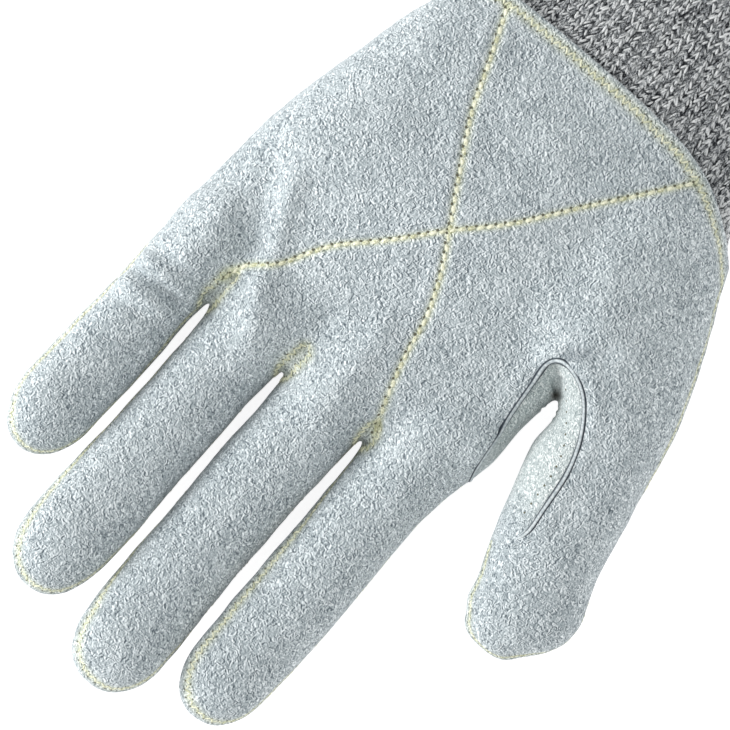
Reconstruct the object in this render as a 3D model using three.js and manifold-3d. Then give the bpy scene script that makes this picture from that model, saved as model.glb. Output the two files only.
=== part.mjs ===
// A left-hand cut-resistant work glove: a knitted glove with a ribbed cuff, a split-leather palm sewn over its
// palm side and finger fronts, and a leather gusset that reinforces the fork of the thumb.
// The glove lies on its back, palm up. Millimetres, +Z up, fingers along +Y, thumb at -X.
// The origin is on the rest plane, under the crossing of the two stitch lines in the palm.
import * as THREE from "three";
import { mergeVertices } from "three/addons/utils/BufferGeometryUtils.js";
import Module from "manifold-3d";

const wasm = await Module();
wasm.setup();

// Wall thicknesses and clearances.
const KNIT_WALL = 1.8;
const LEATHER = 1.3;
const GUSSET_LEATHER = 1.0;
const SEAT_GAP = 0.3; // air left between two pieces that touch
const SKIN = SEAT_GAP + LEATHER; // from the knit's face to the leather's face
const CUFF_WALL = 2.2;

// The ribbed cuff.
const RIB_PITCH = 3.0;
const RIB_DEPTH = 0.8;
const CUFF_TOP = -50.4;

// Where the finger stalls and the thumb stall join the hand of the knit.
const STALL_BASE = 56;
const THUMB_BASE = 15;

const OVAL_POWER = 2.35; // 2 is an ellipse, more is squarer
const FINGER_SIDES = 16;
const HAND_SIDES = 28;
const DOME_STEPS = 3;
const DOME_CAP = 0.35; // share of one more step that the flat end of a dome takes
const FLATNESS = 0.09; // how far a face may move when slivers left by the cuts are merged

// Extents of the tool solids that cut the pieces out.
const UNDER = -50;
const OVER = 120;
const FAR = 200;
const CUT_PAST = 5; // how far a cut runs past the opening it makes
const HEM = 12; // how far the leather runs past the knit hand before its wrist edge is cut

const COLOURS = { leather: 0xb9c3c6, gusset: 0xd2dadc, knit: 0x85898c };

// Each row is one section across the glove at y, with the leather on: its left and right edge and its back and
// palm height. A back below zero is pressed flat on the rest plane. seamLeft and seamRight are the heights at
// which the palm leather ends on either side.
function table(columns, rows) {
  return rows.map((row) => Object.fromEntries(columns.map((name, i) => [name, row[i]])));
}
const SECTION = ["y", "left", "right", "back", "palm", "seamLeft", "seamRight"];

const HAND = {
  sides: HAND_SIDES,
  tip: 55.5,
  rows: table(SECTION, [
    [-50, -54.0, 38.0, -2.0, 42.5, 23, 15],
    [-40, -56.0, 42.0, -3.0, 43.5, 23, 15],
    [-20, -57.0, 47.2, -3.5, 43.0, 20, 14],
    [0, -53.0, 51.2, -3.5, 41.5, 16, 13],
    [12, -48.2, 52.8, -3.5, 40.0, 9, 13],
    [25, -46.4, 53.8, -3.0, 38.5, 9, 13],
    [36, -46.0, 54.4, -2.5, 36.0, 9, 13],
    [44, -44.8, 54.6, -1.5, 32.5, 10, 14],
    [50, -43.6, 54.4, 1.0, 27.5, 10, 14],
  ]),
};
const THUMB = {
  sides: FINGER_SIDES + 4,
  tip: 72.6,
  rows: table(SECTION, [
    [-49, -52.5, -22, 8, 36, 24, 24],
    [-40, -58.0, -18, 4, 42.5, 24, 24],
    [-30, -62.8, -17, 2.5, 44.5, 26, 24],
    [-18, -68.9, -19, 2.5, 46, 27, 22],
    [0, -75.6, -29, 4, 47, 28, 18],
    [13, -78.6, -48.4, 7, 45.5, 25, 13],
    [25, -81.5, -50.2, 9.5, 43.5, 20, 14],
    [36, -83.9, -53.3, 11, 42, 20, 15],
    [44, -86.4, -56.6, 12, 41.5, 21, 20],
    [52, -89.6, -59.3, 13, 41, 23, 27],
    [58, -90.0, -61.8, 14, 40.5, 25, 29],
  ]),
};
const FINGERS = {
  index: {
    sides: FINGER_SIDES,
    tip: 133.4,
    rows: table(SECTION, [
      [20, -40.0, -22.0, 8, 28, 9, 12],
      [34, -44.9, -17.6, 1, 32.5, 9, 12],
      [47, -44.2, -17.9, -0.5, 31, 10, 13],
      [56, -43.0, -19.4, -0.5, 28.2, 10, 16],
      [80, -43.2, -20.0, 0.8, 26.8, 9, 17],
      [104, -43.7, -20.0, 4.0, 27.5, 12, 19],
      [119, -43.2, -20.3, 6.5, 28.5, 16, 21],
    ]),
  },
  middle: {
    sides: FINGER_SIDES,
    tip: 144.4,
    rows: table(SECTION, [
      [20, -15.0, 5.0, 8, 28, 12, 12],
      [34, -18.6, 8.2, 1, 33, 12, 12],
      [48, -17.7, 7.3, -1, 31.5, 12, 13],
      [60, -16.9, 6.9, -0.8, 28.6, 10, 15],
      [84, -17.0, 6.8, 0.8, 27.2, 10, 15],
      [108, -17.5, 6.2, 4.5, 28.4, 12, 18],
      [131, -18.5, 6.1, 9.0, 31.0, 19, 23],
    ]),
  },
  ring: {
    sides: FINGER_SIDES,
    tip: 136.4,
    rows: table(SECTION, [
      [20, 10.0, 30.0, 8, 28, 12, 12],
      [34, 7.0, 33.4, 1, 33, 12, 12],
      [48, 8.0, 32.6, -1, 31.2, 12, 13],
      [60, 8.8, 32.1, -0.6, 28.2, 10, 15],
      [84, 9.1, 31.9, 1.0, 27.0, 10, 15],
      [106, 8.9, 32.7, 5.0, 28.6, 13, 18],
      [120, 9.2, 32.9, 8.0, 30.2, 18, 22],
    ]),
  },
  little: {
    sides: FINGER_SIDES,
    tip: 111.6,
    rows: table(SECTION, [
      [20, 34.0, 50.0, 8, 26, 12, 13],
      [33, 32.0, 54.2, 1, 31, 12, 13],
      [46, 33.1, 54.6, -0.5, 29.8, 12, 13],
      [55, 33.8, 54.7, 0.0, 28.2, 11, 14],
      [60, 33.9, 54.5, 0.4, 25.6, 10, 14],
      [66, 34.0, 54.9, 1.0, 28.0, 10, 14],
      [79, 34.0, 55.6, 2.5, 26.8, 11, 15],
      [96, 34.3, 56.2, 6.0, 27.8, 15, 19],
    ]),
  },
};
// The cuff carries no leather. Its left and right are the crests of its ribs.
const CUFF = table(["y", "left", "right", "back", "palm"], [
  [-118, -47.0, 30.0, -2, 40.5],
  [-88, -46.0, 29.0, -2, 39.5],
  [-68, -48.2, 31.4, -2, 39.8],
  [CUFF_TOP, -52.1, 36.1, -2, 40.6],
]);

// The palm leather's wrist edge, and the edge of its notch for the gusset, seen from the palm.
const WRIST_EDGE = table(["x", "y"], [
  [-80, -26],
  [-62, -36],
  [-53, -44],
  [-44, -50],
  [-33, -53.8],
  [-18, -55.2],
  [16, -55.2],
  [27, -53.8],
  [36, -50],
  [44, -43],
  [60, -36],
]);
const NOTCH_EDGE = table(["x", "y"], [
  [-64.0, 44.0],
  [-62.8, 28.0],
  [-61.0, 21.0],
  [-55.0, 13.0],
  [-50.0, 8.0],
  [-45.5, 5.4],
  [-41.5, 6.2],
  [-39.4, 11.0],
  [-39.5, 18.0],
  [-41.0, 28.0],
  [-42.6, 36.0],
  [-45.0, 42.0],
  [-51.0, 46.0],
  [-58.0, 49.0],
]);

// Solids from three.js geometry, and back.
function solid(geometry) {
  const bare = new THREE.BufferGeometry();
  bare.setAttribute("position", geometry.getAttribute("position"));
  bare.setIndex(geometry.index);
  const merged = mergeVertices(bare, 1e-4);
  return new wasm.Manifold(
    new wasm.Mesh({
      numProp: 3,
      vertProperties: new Float32Array(merged.attributes.position.array),
      triVerts: new Uint32Array(merged.index.array),
    }),
  );
}
function part(name, made, colour, roughness) {
  const { vertProperties, triVerts } = made.simplify(FLATNESS).getMesh();
  const geometry = new THREE.BufferGeometry();
  geometry.setAttribute("position", new THREE.BufferAttribute(vertProperties, 3));
  geometry.setIndex(new THREE.BufferAttribute(triVerts, 1));
  const flat = geometry.toNonIndexed();
  flat.computeVertexNormals();
  const material = new THREE.MeshStandardMaterial({ color: colour, roughness, metalness: 0 });
  const mesh = new THREE.Mesh(flat, material);
  mesh.name = name;
  return mesh;
}
const united = (solids) => solids.reduce((whole, next) => whole.add(next));

// A closed surface through rings of points, from the first ring to the last, with a flat cap on each end.
function skinned(rings) {
  const positions = rings.flat();
  const sides = rings[0].length;
  const faces = [];
  for (let ring = 0; ring + 1 < rings.length; ring++) {
    for (let side = 0; side < sides; side++) {
      const next = (side + 1) % sides;
      const a = ring * sides + side;
      const b = ring * sides + next;
      faces.push(a, b, b + sides, a, b + sides, a + sides);
    }
  }
  for (const ring of [0, rings.length - 1]) {
    const centre = new THREE.Vector3();
    rings[ring].forEach((point) => centre.addScaledVector(point, 1 / sides));
    const hub = positions.push(centre) - 1;
    for (let side = 0; side < sides; side++) {
      const rim = [ring * sides + side, ring * sides + ((side + 1) % sides)];
      faces.push(hub, ...(ring === 0 ? rim.reverse() : rim));
    }
  }
  const geometry = new THREE.BufferGeometry().setFromPoints(positions);
  geometry.setIndex(faces);
  return geometry;
}

// One oval section. Its box is the row's, less the given inset, and scale shrinks it about its centre.
function oval(row, inset, floor, sides, scale = 1) {
  const halfWidth = ((row.right - row.left) / 2 - inset.side) * scale;
  const halfHeight = ((row.palm - inset.palm - row.back - inset.back) / 2) * scale;
  const x = (row.right + row.left) / 2;
  const z = (row.palm - inset.palm + row.back + inset.back) / 2;
  const bulge = (value) => Math.sign(value) * Math.abs(value) ** (2 / OVAL_POWER);
  return Array.from({ length: sides }, (_, side) => {
    const angle = (-2 * Math.PI * side) / sides;
    const height = z + halfHeight * bulge(Math.sin(angle));
    return new THREE.Vector3(x + halfWidth * bulge(Math.cos(angle)), row.y, Math.max(height, floor));
  });
}

// The hand, the thumb or a finger as a solid with a domed tip, grown outwards from the knit's face by grow.
// mouth lengthens it past its first row, to cut an opening.
function stall({ rows, tip, sides }, grow, mouth = 0) {
  const inset = { side: SKIN - grow, palm: SKIN - grow, back: -grow };
  const floor = -grow;
  const rings = rows.map((row) => oval(row, inset, floor, sides));
  if (mouth) rings.unshift(oval({ ...rows[0], y: rows[0].y - mouth }, inset, floor, sides));
  const last = rows[rows.length - 1];
  const reach = tip - SKIN + grow - last.y;
  for (let step = 1; step <= DOME_STEPS; step++) {
    const angle = (step / (DOME_STEPS + DOME_CAP)) * (Math.PI / 2);
    rings.push(oval({ ...last, y: last.y + reach * Math.sin(angle) }, inset, floor, sides, Math.cos(angle)));
  }
  return solid(skinned(rings));
}

const digits = [THUMB, ...Object.values(FINGERS)];
const glove = (grow, mouth = 0) =>
  united([stall(HAND, grow, mouth), ...digits.map((digit) => stall(digit, grow))]);

// A vertical prism over an outline given as points in x and y.
function prism(points) {
  const shape = new THREE.Shape(points.map(({ x, y }) => new THREE.Vector2(x, y)));
  const geometry = new THREE.ExtrudeGeometry(shape, { depth: OVER - UNDER, bevelEnabled: false });
  return solid(geometry.translate(0, 0, UNDER));
}

// The same outline, moved outwards by a distance at every corner.
function grownOutline(points, distance) {
  const turn = THREE.ShapeUtils.isClockWise(points) ? -1 : 1;
  return points.map((point, i) => {
    const before = points[(i + points.length - 1) % points.length];
    const after = points[(i + 1) % points.length];
    const sides = [[before, point], [point, after]].map(([from, to]) =>
      new THREE.Vector2(to.y - from.y, from.x - to.x).normalize().multiplyScalar(turn),
    );
    const mitre = sides[0].clone().add(sides[1]).normalize();
    return new THREE.Vector2(point.x, point.y).addScaledVector(mitre, distance / mitre.dot(sides[0]));
  });
}

// What lies on the back side of the leather's edge on one digit: a slab whose top joins the seam heights.
function backOf({ rows, tip }) {
  const overhang = 1.2;
  const first = rows[0];
  const last = rows[rows.length - 1];
  const stations = [{ ...first, y: first.y - HEM }, ...rows, { ...last, y: tip + CUT_PAST }];
  return solid(
    skinned(
      stations.map(({ y, left, right, seamLeft, seamRight }) => [
        new THREE.Vector3(right + overhang, y, seamRight),
        new THREE.Vector3(right + overhang, y, UNDER),
        new THREE.Vector3(left - overhang, y, UNDER),
        new THREE.Vector3(left - overhang, y, seamLeft),
      ]),
    ),
  );
}

function block(x0, x1, y0, y1) {
  const box = new THREE.BoxGeometry(x1 - x0, y1 - y0, OVER - UNDER);
  return solid(box.translate((x0 + x1) / 2, (y0 + y1) / 2, (UNDER + OVER) / 2));
}

// The knit: one hollow glove, parted into its hand and its five stalls.
const knit = glove(0).subtract(glove(-KNIT_WALL, CUT_PAST));
const MIDWAY = 4; // the row of a finger halfway along it
const between = (a, b) => (a.rows[MIDWAY].right + b.rows[MIDWAY].left) / 2;
const forks = [
  between(FINGERS.index, FINGERS.middle),
  between(FINGERS.middle, FINGERS.ring),
  between(FINGERS.ring, FINGERS.little),
];
const forkOf = ({ rows }) => rows.find(({ y }) => y >= THUMB_BASE - 3);
const thumbFork = (forkOf(THUMB).right + forkOf(HAND).left) / 2;
const bays = {
  thumb: [-FAR, thumbFork, THUMB_BASE],
  index: [thumbFork, forks[0], STALL_BASE],
  middle: [forks[0], forks[1], STALL_BASE],
  ring: [forks[1], forks[2], STALL_BASE],
  little: [forks[2], FAR, STALL_BASE],
};
const stallSpace = united(
  Object.values(bays).map(([x0, x1, base]) => block(x0, x1, base - SEAT_GAP, FAR)),
);

// The ribbed cuff: ribs run the length of a tube that narrows to the wrist.
function arcPoints(points, count) {
  const loop = new THREE.CurvePath();
  points.forEach((point, i) => loop.add(new THREE.LineCurve3(point, points[(i + 1) % points.length])));
  return loop.getSpacedPoints(count).slice(0, count);
}
function cuffRing(row, depth) {
  return oval(row, { side: depth, palm: depth, back: depth }, depth, HAND_SIDES * 4);
}
const [mouth, top] = [CUFF[0], CUFF[CUFF.length - 1]];
const wrist = cuffRing(top, 0);
const girth = wrist.reduce((sum, point, i) => sum + point.distanceTo(wrist[(i + 1) % wrist.length]), 0);
const RIBS = Math.round(girth / RIB_PITCH);
const ribbed = CUFF.map((row) => {
  const crests = arcPoints(cuffRing(row, 0), RIBS * 2);
  const valleys = arcPoints(cuffRing(row, RIB_DEPTH), RIBS * 2);
  return crests.map((crest, i) => (i % 2 ? valleys[i] : crest));
});
const bore = [{ ...mouth, y: mouth.y - CUT_PAST }, ...CUFF, { ...top, y: top.y + CUT_PAST }].map((row) =>
  arcPoints(cuffRing(row, CUFF_WALL), HAND_SIDES),
);
const cuff = solid(skinned(ribbed)).subtract(solid(skinned(bore)));

// The leather: a skin over the palm side of the knit, cut by its wrist edge and by the notch for the gusset.
const backs = united([HAND, ...digits].map(backOf));
const belowWrist = prism([...WRIST_EDGE, { x: FAR, y: CUFF[0].y }, { x: -FAR, y: CUFF[0].y }]);
const inside = glove(SEAT_GAP, HEM + CUT_PAST);
const palmLeather = glove(SKIN, HEM)
  .subtract(inside)
  .subtract(backs)
  .subtract(belowWrist)
  .subtract(prism(grownOutline(NOTCH_EDGE, SEAT_GAP)));
const gusset = glove(SEAT_GAP + GUSSET_LEATHER)
  .subtract(inside)
  .subtract(backs)
  .intersect(prism(NOTCH_EDGE));

const object = new THREE.Group();
object.add(part("palm_leather", palmLeather, COLOURS.leather, 0.95));
object.add(part("thumb_gusset", gusset, COLOURS.gusset, 0.9));
object.add(part("knit_hand", knit.subtract(stallSpace), COLOURS.knit, 0.9));
for (const [name, [x0, x1, base]] of Object.entries(bays)) {
  object.add(part("knit_" + name, knit.intersect(block(x0, x1, base, FAR)), COLOURS.knit, 0.9));
}
object.add(part("rib_cuff", cuff, COLOURS.knit, 0.9));

export default object;
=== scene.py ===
"""A left-hand cut-resistant work glove, lying on its back with the palm up.

A grey heather knit glove with a ribbed cuff carries a split-leather palm, sewn on with pale yellow thread,
and a leather gusset in the fork of the thumb. Fingers point along +Y, the thumb lies at -X, and z is up.
"""
import math

import bmesh
import bpy
import numpy as np
from mathutils import Matrix, Vector, noise
from mathutils.bvhtree import BVHTree
from mathutils.kdtree import KDTree


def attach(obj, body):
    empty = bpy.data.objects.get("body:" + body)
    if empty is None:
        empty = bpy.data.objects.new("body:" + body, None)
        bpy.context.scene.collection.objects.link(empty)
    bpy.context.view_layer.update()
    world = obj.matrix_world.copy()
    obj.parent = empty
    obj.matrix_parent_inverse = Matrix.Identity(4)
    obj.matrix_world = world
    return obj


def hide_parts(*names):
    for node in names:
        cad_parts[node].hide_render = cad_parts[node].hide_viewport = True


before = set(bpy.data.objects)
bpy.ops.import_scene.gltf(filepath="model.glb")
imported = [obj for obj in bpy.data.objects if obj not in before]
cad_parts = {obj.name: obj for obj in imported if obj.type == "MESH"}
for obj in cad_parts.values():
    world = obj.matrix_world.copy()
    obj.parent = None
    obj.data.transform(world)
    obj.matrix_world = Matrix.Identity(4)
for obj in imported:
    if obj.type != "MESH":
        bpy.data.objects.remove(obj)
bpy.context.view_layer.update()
MM = 0.001

# The view: straight down on the palm through a long lens, with the fingertips to the lower left.
VIEW_CENTRE = Vector((-6.3, 38.8, 20)) * MM
VIEW_WIDTH = 182.5 * MM
VIEW_TURN = math.radians(41.5 + 180)
VIEW_DISTANCE = 2.4
SENSOR = 36

camera_data = bpy.data.cameras.new("camera")
camera_data.sensor_width = SENSOR
camera_data.lens = SENSOR * VIEW_DISTANCE / VIEW_WIDTH
camera_data.clip_end = 10
camera = bpy.data.objects.new("camera", camera_data)
camera.location = VIEW_CENTRE + Vector((0, 0, VIEW_DISTANCE))
camera.rotation_euler = (0, 0, VIEW_TURN)
bpy.context.scene.collection.objects.link(camera)
bpy.context.scene.camera = camera
bpy.context.scene.view_settings.view_transform = "Standard"


# Materials are put together from nodes. A Value is a socket that takes part in Python sums.
class Value:
    """One output socket of a finish, which adds Math nodes when it is used in a sum."""

    def __init__(self, finish, socket):
        self.finish = finish
        self.socket = socket

    def _sum(self, operation, first, second):
        return self.finish.node("Math", {"operation": operation}, {0: first, 1: second})

    def __add__(self, other):
        return self._sum("ADD", self, other)

    def __sub__(self, other):
        return self._sum("SUBTRACT", self, other)

    def __rsub__(self, other):
        return self._sum("SUBTRACT", other, self)

    def __mul__(self, other):
        return self._sum("MULTIPLY", self, other)

    __radd__ = __add__
    __rmul__ = __mul__


class Finish:
    """A material in the making."""

    def __init__(self, name):
        self.material = bpy.data.materials.new(name)
        self.material.use_nodes = True
        self.tree = self.material.node_tree
        self.tree.nodes.clear()

    def node(self, kind, settings=None, sockets=None, output=0):
        """Adds a node of that kind, its settings first and then its sockets, and returns one output."""
        made = self.tree.nodes.new("ShaderNode" + kind)
        for name, value in (settings or {}).items():
            if name == "stops":
                ramp = made.color_ramp.elements
                while len(ramp) < len(value):
                    ramp.new(0.5)
                for element, (position, colour) in zip(ramp, value):
                    element.position = position
                    element.color = colour
            else:
                setattr(made, name, value)
        for name, value in (sockets or {}).items():
            if isinstance(value, Value):
                self.tree.links.new(value.socket, made.inputs[name])
            else:
                made.inputs[name].default_value = value
        return Value(self, made.outputs[output]) if made.outputs else None

    def place(self):
        """Where a point of the surface is, in metres."""
        return self.node("TexCoord", output="Object")

    def grain(self, size, detail=2.0, roughness=0.5, distortion=0.0, at=None):
        """Soft noise whose lumps are about this many metres across."""
        sockets = {"Scale": 1 / size, "Detail": detail, "Roughness": roughness, "Distortion": distortion}
        return self.node("TexNoise", None, {"Vector": at or self.place(), **sockets})

    def ramp(self, factor, *stops):
        """A colour for every tone, between stops of a tone and its colour."""
        return self.node("ValToRGB", {"stops": stops}, {"Fac": factor})

    def mixed(self, factor, first, second):
        settings = {"data_type": "RGBA"}
        return self.node("Mix", settings, {"Factor": factor, 6: first, 7: second}, output=2)

    def attribute(self, name):
        return self.node("Attribute", {"attribute_name": name}, output="Fac")

    def bump(self, height, depth):
        """A relief of this depth in metres."""
        return self.node("Bump", None, {"Height": height, "Distance": depth, "Strength": 1.0})

    def done(self, **sockets):
        """Ends the material in a Principled shader with these sockets, and returns the material."""
        named = {name.replace("_", " "): value for name, value in sockets.items()}
        shader = self.node("BsdfPrincipled", None, named, output="BSDF")
        self.node("OutputMaterial", None, {"Surface": shader})
        return self.material


def rgb(red, green, blue):
    """A screen colour from 0 to 255 as the linear colour that a shader or a ramp takes."""
    return tuple((part / 255) ** 2.2 for part in (red, green, blue)) + (1.0,)


# The stage: a plain white table that glows as a light table does, so that it stays white between the
# fingers, a large soft lamp on the side of the little finger and the fingertips, and an even sky.
FLOOR_HALF_WIDTH = 3
FLOOR_GLOW = 0.8
LAMP_FROM = Vector((0.80, 0.56, 0.30))
LAMP_DISTANCE = 1.4
LAMP_WIDTH = 0.9
LAMP_WATTS = 16
SKY_STRENGTH = 0.88

floor_shape = bmesh.new()
bmesh.ops.create_grid(floor_shape, x_segments=1, y_segments=1, size=FLOOR_HALF_WIDTH)
floor_mesh = bpy.data.meshes.new("floor")
floor_shape.to_mesh(floor_mesh)
floor_shape.free()
floor = bpy.data.objects.new("floor", floor_mesh)
bpy.context.scene.collection.objects.link(floor)
floor_paint = Finish("floor_paint").done(
    Base_Color=(0.5, 0.5, 0.5, 1), Roughness=0.9, Emission_Color=(1, 1, 1, 1), Emission_Strength=FLOOR_GLOW
)
floor_mesh.materials.append(floor_paint)

lamp_data = bpy.data.lights.new("softbox", "AREA")
lamp_data.shape = "DISK"
lamp_data.size = LAMP_WIDTH
lamp_data.energy = LAMP_WATTS
lamp = bpy.data.objects.new("softbox", lamp_data)
lamp.location = LAMP_FROM.normalized() * LAMP_DISTANCE
lamp.rotation_euler = LAMP_FROM.to_track_quat("Z", "Y").to_euler()
bpy.context.scene.collection.objects.link(lamp)

sky = bpy.data.worlds.new("sky")
sky.use_nodes = True
sky_light = sky.node_tree.nodes["Background"].inputs
sky_light["Color"].default_value = (1, 1, 1, 1)
sky_light["Strength"].default_value = SKY_STRENGTH
bpy.context.scene.world = sky

# The knit: one seamless glove of grey heather cut-resistant yarn, a hand with five stalls, which keeps its
# filled-out shape. It is made as closed oval tubes, one for the hand and one for each stall, that are fused
# and smoothed. Sizes are in millimetres, and the tables of sections give them with the leather on.
LEATHER = 1.3
SEAT_GAP = 0.3
SKIN = LEATHER + SEAT_GAP
KNIT_WALL = 1.8
OVAL_POWER = 2.35
RING_STEP = 1.5
DOME_RINGS = 12
TUBE_SIDES = 56
Y, LEFT, RIGHT, BACK, PALM, SEAM_LEFT, SEAM_RIGHT = range(7)


def sections(tip, *rows):
    """A tube's tip and its table of sections. Each row gives the place along the glove, the left and right
    edge, the back and palm height, and the height at which the leather ends on the left and the right."""
    return {"tip": tip, "rows": np.array(rows, float)}


HAND = sections(
    53.4,
    (-66, -54.0, 38.0, -2.0, 39.5, 23, 15),
    (-50, -54.6, 38.4, -2.0, 41.6, 23, 13),
    (-40, -56.0, 42.0, -3.0, 43.2, 23, 12),
    (-20, -57.0, 47.1, -3.5, 43.2, 20, 11),
    (0, -53.0, 51.4, -3.5, 43.0, 16, 11),
    (12, -48.2, 52.9, -3.5, 41.8, 9, 11),
    (25, -46.8, 53.9, -3.0, 38.7, 9, 11),
    (36, -46.9, 54.5, -2.5, 35.2, 9, 11),
    (44, -45.2, 54.7, -1.5, 31.9, 10, 12),
    (48, -43.8, 54.6, 0.0, 29.2, 10, 13),
)
THUMB = sections(
    72.6,
    (-49, -52.5, -22, 8, 36, 24, 24),
    (-40, -58.0, -18, 4, 42.5, 24, 24),
    (-30, -62.9, -17, 2.5, 44.5, 26, 24),
    (-18, -69.0, -19, 2.5, 46, 27, 22),
    (0, -75.8, -29, 4, 47, 28, 18),
    (8, -77.7, -42.0, 5.5, 46.5, 27, 16),
    (14, -78.9, -48.6, 7, 45.5, 25, 13),
    (25, -81.5, -49.9, 9.5, 43.5, 20, 14),
    (36, -84.1, -53.0, 11, 42, 20, 15),
    (44, -86.4, -56.2, 12, 41.5, 21, 20),
    (50, -89.2, -58.4, 13, 41, 23, 26),
    (55, -90.3, -60.4, 13.5, 41, 24, 27),
    (60, -89.3, -62.5, 14.5, 40, 26, 27.5),
    (64.5, -86.4, -63.5, 15.3, 39.2, 27, 28),
    (68.3, -82.8, -66.2, 17.7, 36.8, 27.5, 28.5),
)
INDEX = sections(
    133.4,
    (20, -40.0, -22.0, 8, 28, 9, 12),
    (34, -46.2, -17.6, 1, 33.5, 9, 12),
    (44, -44.9, -17.6, -0.5, 32.5, 10, 12),
    (56, -43.2, -19.1, -0.5, 28.6, 10, 12),
    (80, -43.5, -19.6, 0.8, 26.8, 9, 17.5),
    (104, -43.9, -19.6, 4.0, 27.5, 12, 20.7),
    (119, -43.3, -19.8, 6.5, 28.5, 16, 22.7),
)
MIDDLE = sections(
    144.4,
    (20, -15.0, 5.0, 8, 28, 12, 12),
    (34, -18.6, 8.2, 1, 35, 12, 12),
    (46, -18.3, 7.5, -1, 33.5, 12, 11),
    (60, -17.6, 6.9, -0.8, 28.9, 10, 9),
    (84, -17.1, 6.8, 0.8, 27.2, 10, 9),
    (108, -17.6, 6.4, 4.5, 28.4, 12, 13.5),
    (130, -18.7, 6.2, 9.0, 31.0, 19, 24),
)
RING = sections(
    136.4,
    (20, 10.0, 30.0, 8, 28, 12, 12),
    (34, 7.0, 33.4, 1, 35.5, 12, 12),
    (46, 7.8, 32.8, -1, 33.5, 12, 12),
    (60, 9.0, 32.1, -0.6, 28.4, 10, 11),
    (84, 9.2, 31.9, 1.0, 27.0, 10, 12),
    (106, 8.8, 32.6, 5.0, 28.6, 13, 17.5),
    (120, 9.1, 33.0, 8.0, 30.2, 18, 22),
)
LITTLE = sections(
    111.6,
    (20, 34.0, 50.0, 8, 26, 12, 13),
    (33, 32.4, 54.3, 1, 32.5, 12, 13),
    (46, 33.3, 54.7, -0.5, 31.0, 14, 13),
    (60, 33.9, 54.9, 0.4, 28.0, 16, 14.5),
    (79, 34.0, 55.7, 2.5, 26.8, 11, 16.6),
    (96, 34.4, 56.4, 6.0, 27.8, 15, 19),
)
DIGITS = {"thumb": THUMB, "index": INDEX, "middle": MIDDLE, "ring": RING, "little": LITTLE}


def along(table, places):
    """All columns of a table at each of the places along the glove, on a smooth curve through its rows."""
    at = table[:, Y]
    slopes = np.gradient(table, at, axis=0)
    places = np.clip(places, at[0], at[-1])
    row = np.clip(np.searchsorted(at, places) - 1, 0, len(at) - 2)
    span = (at[row + 1] - at[row])[:, None]
    t = (places - at[row])[:, None] / span
    start = (1 + 2 * t) * (1 - t) ** 2 * table[row] + t * (1 - t) ** 2 * span * slopes[row]
    end = t * t * (3 - 2 * t) * table[row + 1] - t * t * (1 - t) * span * slopes[row + 1]
    return start + end


def stations(part):
    """The rings of a tube: their rows, and how much each shrinks towards the domed tip."""
    rows = part["rows"]
    straight = along(rows, np.arange(rows[0, Y], rows[-1, Y], RING_STEP))
    angles = np.linspace(0, math.pi / 2, DOME_RINGS + 1)[:-1]
    dome = np.repeat(rows[-1:], DOME_RINGS, axis=0)
    dome[:, Y] += (part["tip"] - rows[-1, Y]) * np.sin(angles)
    sizes = np.concatenate([np.ones(len(straight)), np.cos(angles)])
    return np.concatenate([straight, dome]), sizes


def bulge(value):
    """The place on the glove's blunt oval for a place on a circle."""
    return math.copysign(abs(value) ** (2 / OVAL_POWER), value)


def tube(part, inset):
    """A closed tube of oval sections as a bmesh, this far inside the leather and flat where it rests."""
    rows, sizes = stations(part)
    shape = bmesh.new()
    bmesh.ops.create_cone(shape, cap_ends=True, segments=TUBE_SIDES, radius1=1, radius2=1, depth=1)
    lengths = [edge for edge in shape.edges if abs(edge.verts[0].co.z - edge.verts[1].co.z) > 0.5]
    bmesh.ops.subdivide_edges(shape, edges=lengths, cuts=len(rows) - 2)
    for vertex in shape.verts:
        ring = round((vertex.co.z + 0.5) * (len(rows) - 1))
        row, size = rows[ring], sizes[ring]
        low, high = row[BACK] - SKIN + inset, row[PALM] - inset
        half_width = (row[RIGHT] - row[LEFT]) / 2 - inset
        x = (row[LEFT] + row[RIGHT]) / 2 + half_width * size * bulge(vertex.co.x)
        z = (low + high) / 2 + (high - low) / 2 * size * bulge(vertex.co.y)
        vertex.co = (x, row[Y] - inset * (1 - size), max(z, inset - SKIN))
    bmesh.ops.recalc_face_normals(shape, faces=shape.faces)
    return shape


# The thumb's tube meets the palm in a sharp valley along this line. On the palm side of the glove it is
# evened out to a slope: fully up to the first number of its reach, and less and less up to the second.
THUMB_VALLEY = ((-25, -15), (-36, 1))
VALLEY_REACH = (4, 14)
VALLEY_SIDE = (24, 32)
VALLEY_ROUNDS = 18


def fused(voxel, smoothing, inset):
    """The hand and its digits as one closed skin of even small faces, as a mesh in millimetres."""
    joined = bmesh.new()
    for part in (HAND, *DIGITS.values()):
        shape = tube(part, inset)
        single = bpy.data.meshes.new("tube")
        shape.to_mesh(single)
        shape.free()
        joined.from_mesh(single)
        bpy.data.meshes.remove(single)
    tubes = bpy.data.meshes.new("tubes")
    joined.to_mesh(tubes)
    joined.free()
    holder = bpy.data.objects.new("tubes", tubes)
    bpy.context.scene.collection.objects.link(holder)
    remesh = holder.modifiers.new("remesh", "REMESH")
    remesh.mode = "VOXEL"
    remesh.voxel_size = voxel
    graph = bpy.context.evaluated_depsgraph_get()
    mesh = bpy.data.meshes.new_from_object(holder.evaluated_get(graph))
    bpy.data.objects.remove(holder)
    points = relaxed(mesh, points_of(mesh), smoothing)
    in_valley = 1 - smoothstep(*VALLEY_REACH, distance_to(points, *THUMB_VALLEY))
    in_valley *= smoothstep(*VALLEY_SIDE, points[:, 2])
    evened_out = relaxed(mesh, points, smoothing * VALLEY_ROUNDS)
    points += (evened_out - points) * in_valley[:, None]
    points[:, 2] = np.maximum(points[:, 2], inset - SKIN)
    set_points(mesh, points)
    return mesh


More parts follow.
